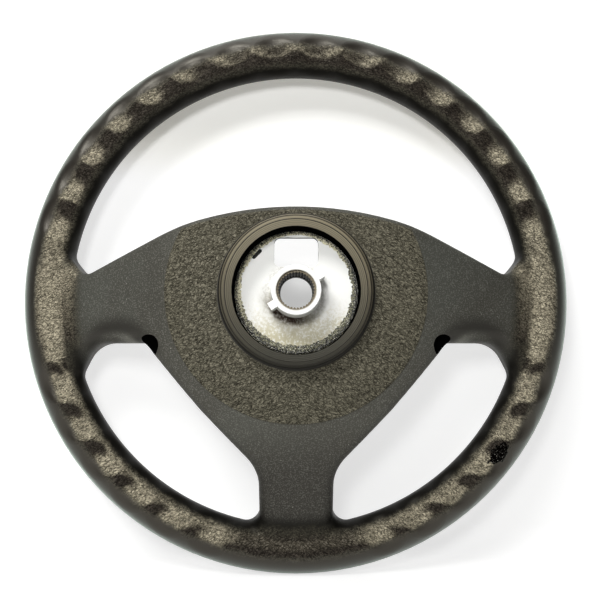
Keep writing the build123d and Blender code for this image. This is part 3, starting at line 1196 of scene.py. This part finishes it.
@dataclass(frozen=True)
class StudioPaper:
    """White sweep, clear from behind, that keeps the wheel's shadow, with a painted shadow behind the hub.
    """

    paper: Colour = (0.50, 0.50, 0.495)
    bare: Colour = (0.90, 0.90, 0.89)
    white: Colour = (1.0, 1.0, 1.0)
    warm: Colour = (1.0, 0.97, 0.84)
    lift: float = 0.66
    crest: Ramp = (0.085, 0.135)
    crest_dip: float = 0.46
    hub: Ramp = (0.030, 0.018)
    hub_shadow: float = 0.27

    def make(self) -> bpy.types.Material:
        """Wire the paper's material.

        Returns:
            The finished material.
        """
        g = Graph("studio_paper")
        spot = g.spot()
        rays = g.node("ShaderNodeLightPath").outputs
        seen = g.most(rays["Is Camera Ray"], rays["Is Glossy Ray"], rays["Is Transmission Ray"])
        # Painted shadow: the glow dims behind the hub. At the crest the glow dims and turns warm while the
        # sheet turns whiter to camera, glossy and transmission rays, so the lamps' shadow of the rim shows
        # deeper and warmer.
        crest = g.step(spot.z, *self.crest)
        hub = g.step(spot.radius, *self.hub)
        level = g.less(self.lift, g.add(g.times(hub, self.hub_shadow), g.times(crest, self.crest_dip)))
        sheet = g.node("ShaderNodeBsdfDiffuse")
        g.feed(sheet.inputs["Color"], g.mix(g.times(seen, crest), self.paper, self.bare))
        glow = g.node("ShaderNodeEmission")
        g.feed(glow.inputs["Color"], g.mix(crest, self.white, self.warm))
        g.feed(glow.inputs["Strength"], g.times(seen, level))
        lit = g.node("ShaderNodeAddShader")
        g.feed(lit.inputs[0], sheet.outputs[0])
        g.feed(lit.inputs[1], glow.outputs[0])
        pick = g.node("ShaderNodeMixShader")
        g.feed(pick.inputs[0], g.node("ShaderNodeNewGeometry").outputs["Backfacing"])
        g.feed(pick.inputs[1], lit.outputs[0])
        g.feed(pick.inputs[2], g.node("ShaderNodeBsdfTransparent").outputs[0])
        g.feed(g.output.inputs[0], pick.outputs[0])
        return g.material


def dress(piece: bpy.types.Object, material: bpy.types.Material) -> None:
    """Give a piece one material.

    Args:
        piece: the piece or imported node.
        material: its finish.
    """
    piece.data.materials.clear()
    piece.data.materials.append(material)
    log.info("%s: %d faces, %s", piece.name, len(piece.data.polygons), material.name)


@dataclass
class MouldedCover:
    """The one-piece foam cover: rim, spokes, hub and collar."""

    node: str = "grip_cover"
    finish: MouldedSkin = MouldedSkin()

    def build(self) -> bpy.types.Object:
        """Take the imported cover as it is."""
        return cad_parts[self.node]

    def dress(self, cover: bpy.types.Object) -> None:
        """Put the skin on the cover."""
        dress(cover, self.finish.make())


@dataclass
class FoamFlash:
    """Ragged flash of foam left on the hub plate inside the collar."""

    name: str = "foam_flash"
    outer: float = 0.0393
    inner: float = 0.0353
    least_width: float = 0.0008
    ragged: float = 0.0017
    ragged_waves: Waves = ((0.7, 5.0), (0.6, 26.0))
    sag: float = 0.0014
    window_clear: float = 0.0370
    window_half: float = 0.0150
    plate_back: float = -0.0075
    height: float = 0.0011
    lump_middle: float = 0.55
    lump_waves: Waves = ((0.9, 900.0), (0.5, 2600.0))
    lump_floor: float = 0.12
    inner_height: float = 0.35
    around: int = 480
    across: int = 8
    finish: FlashSkin = FlashSkin()

    def inner_edge(self, turn: float) -> float:
        """Inner radius of the flash in one direction.

        Args:
            turn: the direction, from +X towards +Z.

        Returns:
            The radius, clear of the cable window.
        """
        way = Vector((math.cos(turn), math.sin(turn), 0.0))
        rough = sum(share * noise.noise(way * rate) for share, rate in self.ragged_waves)
        radius = self.inner + self.ragged * rough + self.sag * way.y
        if way.y > 0 and abs(way.x) * self.outer < self.window_half:
            radius = max(radius, self.window_clear)
        return min(radius, self.outer - self.least_width)

    def section(self, turn: float) -> list[Vector]:
        """Closed section of the flash in one direction.

        Args:
            turn: the direction, from +X towards +Z.

        Returns:
            Its points, from the plate's inner edge over the top to the outer edge.
        """
        start = self.inner_edge(turn)
        way = Vector((math.cos(turn), 0.0, math.sin(turn)))
        points = [way * start + Vector((0.0, self.plate_back, 0.0))]
        for part in range(self.across + 1):
            share = part / self.across
            spot = way * (start + (self.outer - start) * share)
            lump = self.lump_middle
            for strength, rate in self.lump_waves:
                lump += strength * noise.noise(spot * rate)
            swell = self.inner_height + (1.0 - self.inner_height) * ease(share, 0.0, 0.5)
            rise = self.height * min(1.0, max(self.lump_floor, lump)) * swell
            points.append(spot + Vector((0.0, self.plate_back - rise, 0.0)))
        points.append(way * self.outer + Vector((0.0, self.plate_back, 0.0)))
        return points

    def build(self) -> bpy.types.Object:
        """Sweep the ragged section round the plate's edge.

        Returns:
            The flash's object.
        """
        rows = [self.section(2 * math.pi * k / self.around) for k in range(self.around)]
        width = len(rows[0])
        points = [tuple(point) for row in rows for point in row]
        faces = []
        for k in range(self.around):
            here = k * width
            there = (k + 1) % self.around * width
            for j in range(width):
                step = (j + 1) % width
                faces.append((here + j, here + step, there + step, there + j))
        mesh = bpy.data.meshes.new(self.name)
        mesh.from_pydata(points, [], faces)
        shape = bmesh.new()
        shape.from_mesh(mesh)
        bmesh.ops.recalc_face_normals(shape, faces=shape.faces)
        shape.to_mesh(mesh)
        shape.free()
        mesh.shade_smooth()
        piece = bpy.data.objects.new(self.name, mesh)
        bpy.context.scene.collection.objects.link(piece)
        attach(piece, BODY)
        return piece

    def dress(self, piece: bpy.types.Object) -> None:
        """Put the torn skin's finish on the flash."""
        dress(piece, self.finish.make())


@dataclass
class Armature:
    """The die-cast armature with the steel bush and the rim's core ring."""

    nodes: tuple[str, str, str] = ("armature", "hub_bush", "rim_ring")
    casting: CastAlloy = CastAlloy()
    bush: TurnedSteel = TurnedSteel("bush_steel")
    core: TurnedSteel = TurnedSteel("core_steel")

    def build(self) -> list[bpy.types.Object]:
        """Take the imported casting, bush and ring as they are."""
        return [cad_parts[name] for name in self.nodes]

    def dress(self, pieces: list[bpy.types.Object]) -> None:
        """Put their finishes on the casting, the bush and the ring.

        Args:
            pieces: the three pieces, in that order.
        """
        finishes = ((self.casting, Slot.ALLOY), (self.bush, Slot.BUSH), (self.core, Slot.CORE))
        for piece, (finish, slot) in zip(pieces, finishes):
            dress(piece, finish.make())


@dataclass(frozen=True)
class Softbox:
    """A square lamp aimed at the hub, with its place and side in metres and its power in watts."""

    name: str
    place: Point
    side: float
    power: float

    def hang(self) -> None:
        """Hang the lamp in the scene."""
        light = bpy.data.lights.new(self.name, "AREA")
        light.shape = "SQUARE"
        light.size = self.side
        light.energy = self.power
        lamp = bpy.data.objects.new(self.name, light)
        lamp.location = self.place
        lamp.rotation_euler = (-Vector(self.place)).to_track_quat("-Z", "Y").to_euler()
        bpy.context.scene.collection.objects.link(lamp)


@dataclass
class Studio:
    """White sweep, soft lamps, world and camera."""

    floor_level: float = -0.1876
    floor_reach: float = -1.8
    wall_foot: float = 0.085
    wall_lean: float = 0.058
    wall_height: float = 0.75
    half_width: float = 1.4
    bend: float = 0.02
    bend_steps: int = 8
    paper: StudioPaper = StudioPaper()
    lamps: tuple[Softbox, ...] = (
        Softbox("key_softbox", (-0.32, -0.75, 0.64), 0.30, 7.0),
        Softbox("camera_softbox", (-0.08, -0.55, 0.10), 0.10, 1.6),
        Softbox("ceiling_softbox", (-0.10, -0.25, 1.20), 0.8, 4.5),
        Softbox("front_softbox", (0.5, 1.3, 0.8), 1.0, 8.0),
    )
    room_light: float = 0.05
    eye: Point = (0.0, -0.4653, -0.0349)
    aim: Point = (0.00264, 0.0335, -0.0021)
    lens: float = 43.1
    sensor: float = 36.0

    def build(self) -> None:
        """Put up the sweep, the lamps, the world and the camera."""
        self.sweep()
        for lamp in self.lamps:
            lamp.hang()
        self.world()
        self.camera()

    def sweep(self) -> None:
        """Floor and wall in one curved sheet."""
        profile = [(self.floor_reach, self.floor_level)]
        for part in range(self.bend_steps + 1):
            turn = math.radians(90 * part / self.bend_steps)
            y = self.wall_foot - self.bend + self.bend * math.sin(turn)
            z = self.floor_level + self.bend - self.bend * math.cos(turn)
            profile.append((y, z))
        profile.append((self.wall_foot - self.wall_lean, self.floor_level + self.wall_height))
        mesh = bpy.data.meshes.new("paper_sweep")
        points = [(side * self.half_width, y, z) for y, z in profile for side in (-1, 1)]
        faces = [(2 * k, 2 * k + 1, 2 * k + 3, 2 * k + 2) for k in range(len(profile) - 1)]
        mesh.from_pydata(points, [], faces)
        mesh.shade_smooth()
        mesh.materials.append(self.paper.make())
        sheet = bpy.data.objects.new("paper_sweep", mesh)
        bpy.context.scene.collection.objects.link(sheet)
        sheet.visible_shadow = False

    def world(self) -> None:
        """Light the room evenly."""
        world = bpy.data.worlds.new("room")
        world.use_nodes = True
        background = world.node_tree.nodes["Background"]
        background.inputs["Color"].default_value = (1.0, 1.0, 1.0, 1.0)
        background.inputs["Strength"].default_value = self.room_light
        bpy.context.scene.world = world

    def camera(self) -> None:
        """Set the camera where the photograph was taken from."""
        data = bpy.data.cameras.new("camera")
        data.lens = self.lens
        data.sensor_width = self.sensor
        camera = bpy.data.objects.new("camera", data)
        camera.location = self.eye
        camera.rotation_euler = (Vector(self.aim) - Vector(self.eye)).to_track_quat("-Z", "Y").to_euler()
        bpy.context.scene.collection.objects.link(camera)
        bpy.context.scene.camera = camera
        bpy.context.scene.view_settings.view_transform = "Standard"


def main() -> None:
    """Build the studio and every piece of the wheel, and note its size."""
    logging.basicConfig(level=logging.INFO, format="%(name)s: %(message)s")
    Studio().build()
    cover = MouldedCover()
    cover.dress(cover.build())
    flash = FoamFlash()
    flash.dress(flash.build())
    armature = Armature()
    armature.dress(armature.build())


if __name__ == "__main__":
    main()
